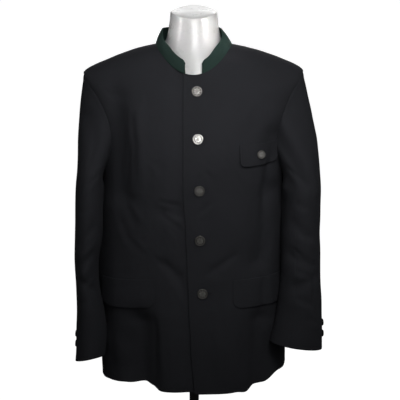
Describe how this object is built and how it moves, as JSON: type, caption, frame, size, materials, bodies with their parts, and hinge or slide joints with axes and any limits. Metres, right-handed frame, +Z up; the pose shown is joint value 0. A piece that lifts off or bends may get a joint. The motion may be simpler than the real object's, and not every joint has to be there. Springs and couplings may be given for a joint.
{
  "type": "stand-collar blazer on a dress form",
  "caption": "Button-front blazer with a stand collar, flap pockets and two-piece sleeves, worn by a limbless dress form on a pole with a round base.",
  "frame": {"origin": "centre of the round base's underside, where the stand rests on the floor", "axes": "+Z up along the pole, the blazer faces -Y, and +X is the wearer's left"},
  "size_m": [0.5614, 0.3017, 1.035],
  "materials": {
    "cloth_black": "matt wool suiting",
    "collar_green": "matt wool felt",
    "button_metal": "old silver, worn",
    "form_white": "glossy white",
    "stand_black": "satin black"
  },
  "bodies": {
    "root": {"front_left": "cloth_black", "front_right": "cloth_black", "back": "cloth_black", "collar": "collar_green", "sleeve_right_top": "cloth_black", "sleeve_right_under": "cloth_black", "sleeve_left_top": "cloth_black", "sleeve_left_under": "cloth_black", "chest_flap": "cloth_black", "hip_flap_right": "cloth_black", "hip_flap_left": "cloth_black", "front_button_1": "button_metal", "front_button_2": "button_metal", "front_button_3": "button_metal", "front_button_4": "button_metal", "front_button_5": "button_metal", "chest_flap_button": "button_metal", "cuff_button_right_1": "button_metal", "cuff_button_right_2": "button_metal", "cuff_button_left_1": "button_metal", "cuff_button_left_2": "button_metal", "dress_form": "form_white", "pole": "stand_black", "base": "stand_black"}
  },
  "joints": []
}
